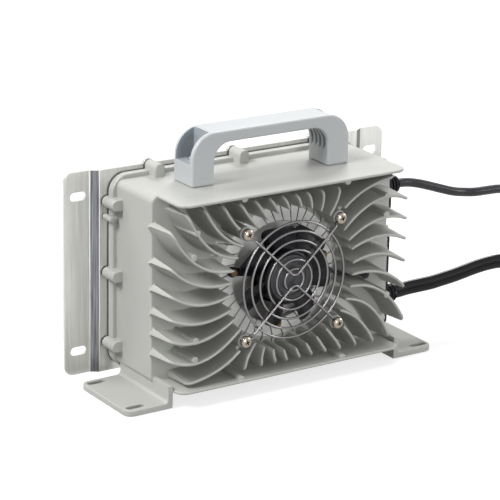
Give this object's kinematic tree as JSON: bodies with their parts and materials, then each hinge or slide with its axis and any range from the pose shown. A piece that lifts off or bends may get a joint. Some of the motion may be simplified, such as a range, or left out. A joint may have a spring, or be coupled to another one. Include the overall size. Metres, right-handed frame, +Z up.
{
  "type": "waterproof battery charger",
  "caption": "Fan-cooled waterproof battery charger: finned cast housing on feet, carry handle, steel back plate with ears, mains and battery leads.",
  "frame": {"origin": "middle of the unit's outline on the surface that it stands on", "axes": "+Z up, the fan and fins face -Y, the cable side is +X; the fan's axis runs along Y"},
  "size_m": [0.5644, 0.1081, 0.169],
  "materials": {
    "cast_paint": "fine grey powder coat on die-cast aluminium",
    "black_rubber": "matte",
    "plate_steel": "brushed stainless",
    "screw_steel": "bright zinc",
    "handle_plastic": "satin moulded",
    "black_plastic": "satin moulded",
    "brass": "plain",
    "copper_winding": "enamelled wire",
    "ferrite": "matte sintered",
    "chrome_wire": "bright plated",
    "board_green": "solder mask",
    "winding_tape": "polyester tape",
    "sleeve_plastic": "shrink sleeve",
    "bar_aluminium": "extruded",
    "pad_silicone": "soft pad",
    "fuse_glass": "ceramic tube",
    "cord_rubber": "satin sheath",
    "connector_plastic": "moulded"
  },
  "bodies": {
    "charger": {"housing": "cast_paint", "cover_gasket": "black_rubber", "back_plate": "plate_steel", "back_screws": "screw_steel", "handle": "handle_plastic", "handle_screws": "screw_steel", "fan_base": "black_plastic", "fan_screws": "brass", "stator": "copper_winding", "sleeve_bearing": "brass", "fan_guard": "chrome_wire", "guard_screws": "chrome_wire", "fan_lead": "cord_rubber", "lead_grommet": "black_rubber", "ac_entry_plate": "black_plastic", "dc_entry_plate": "black_plastic", "entry_screws": "screw_steel", "ac_gland": "black_plastic", "dc_gland": "black_plastic", "gland_nuts": "black_plastic", "circuit_board": "board_green", "board_screws": "screw_steel", "transformer_core": "ferrite", "transformer_winding": "winding_tape", "filter_choke": "copper_winding", "output_choke": "copper_winding", "bulk_capacitors": "sleeve_plastic", "output_capacitors": "sleeve_plastic", "heat_bar": "bar_aluminium", "heat_bar_screws": "screw_steel", "thermal_pad": "pad_silicone", "power_transistors": "black_plastic", "relay": "sleeve_plastic", "fuse": "fuse_glass", "terminal_block": "sleeve_plastic", "ac_cord": "cord_rubber", "ac_coil": "cord_rubber", "ac_plug": "cord_rubber", "plug_pins": "brass", "dc_cord": "cord_rubber", "dc_coil": "cord_rubber", "dc_connector": "connector_plastic", "connector_contacts": "brass"},
    "rotor": {"impeller": "black_plastic", "magnet_ring": "ferrite", "fan_shaft": "screw_steel"}
  },
  "joints": [
    {"name": "fan_spin", "type": "hinge", "parent": "charger", "child": "rotor", "pos_m": [0, -0.028, 0.0725], "axis": [0, 1, 0], "continuous": true}
  ]
}
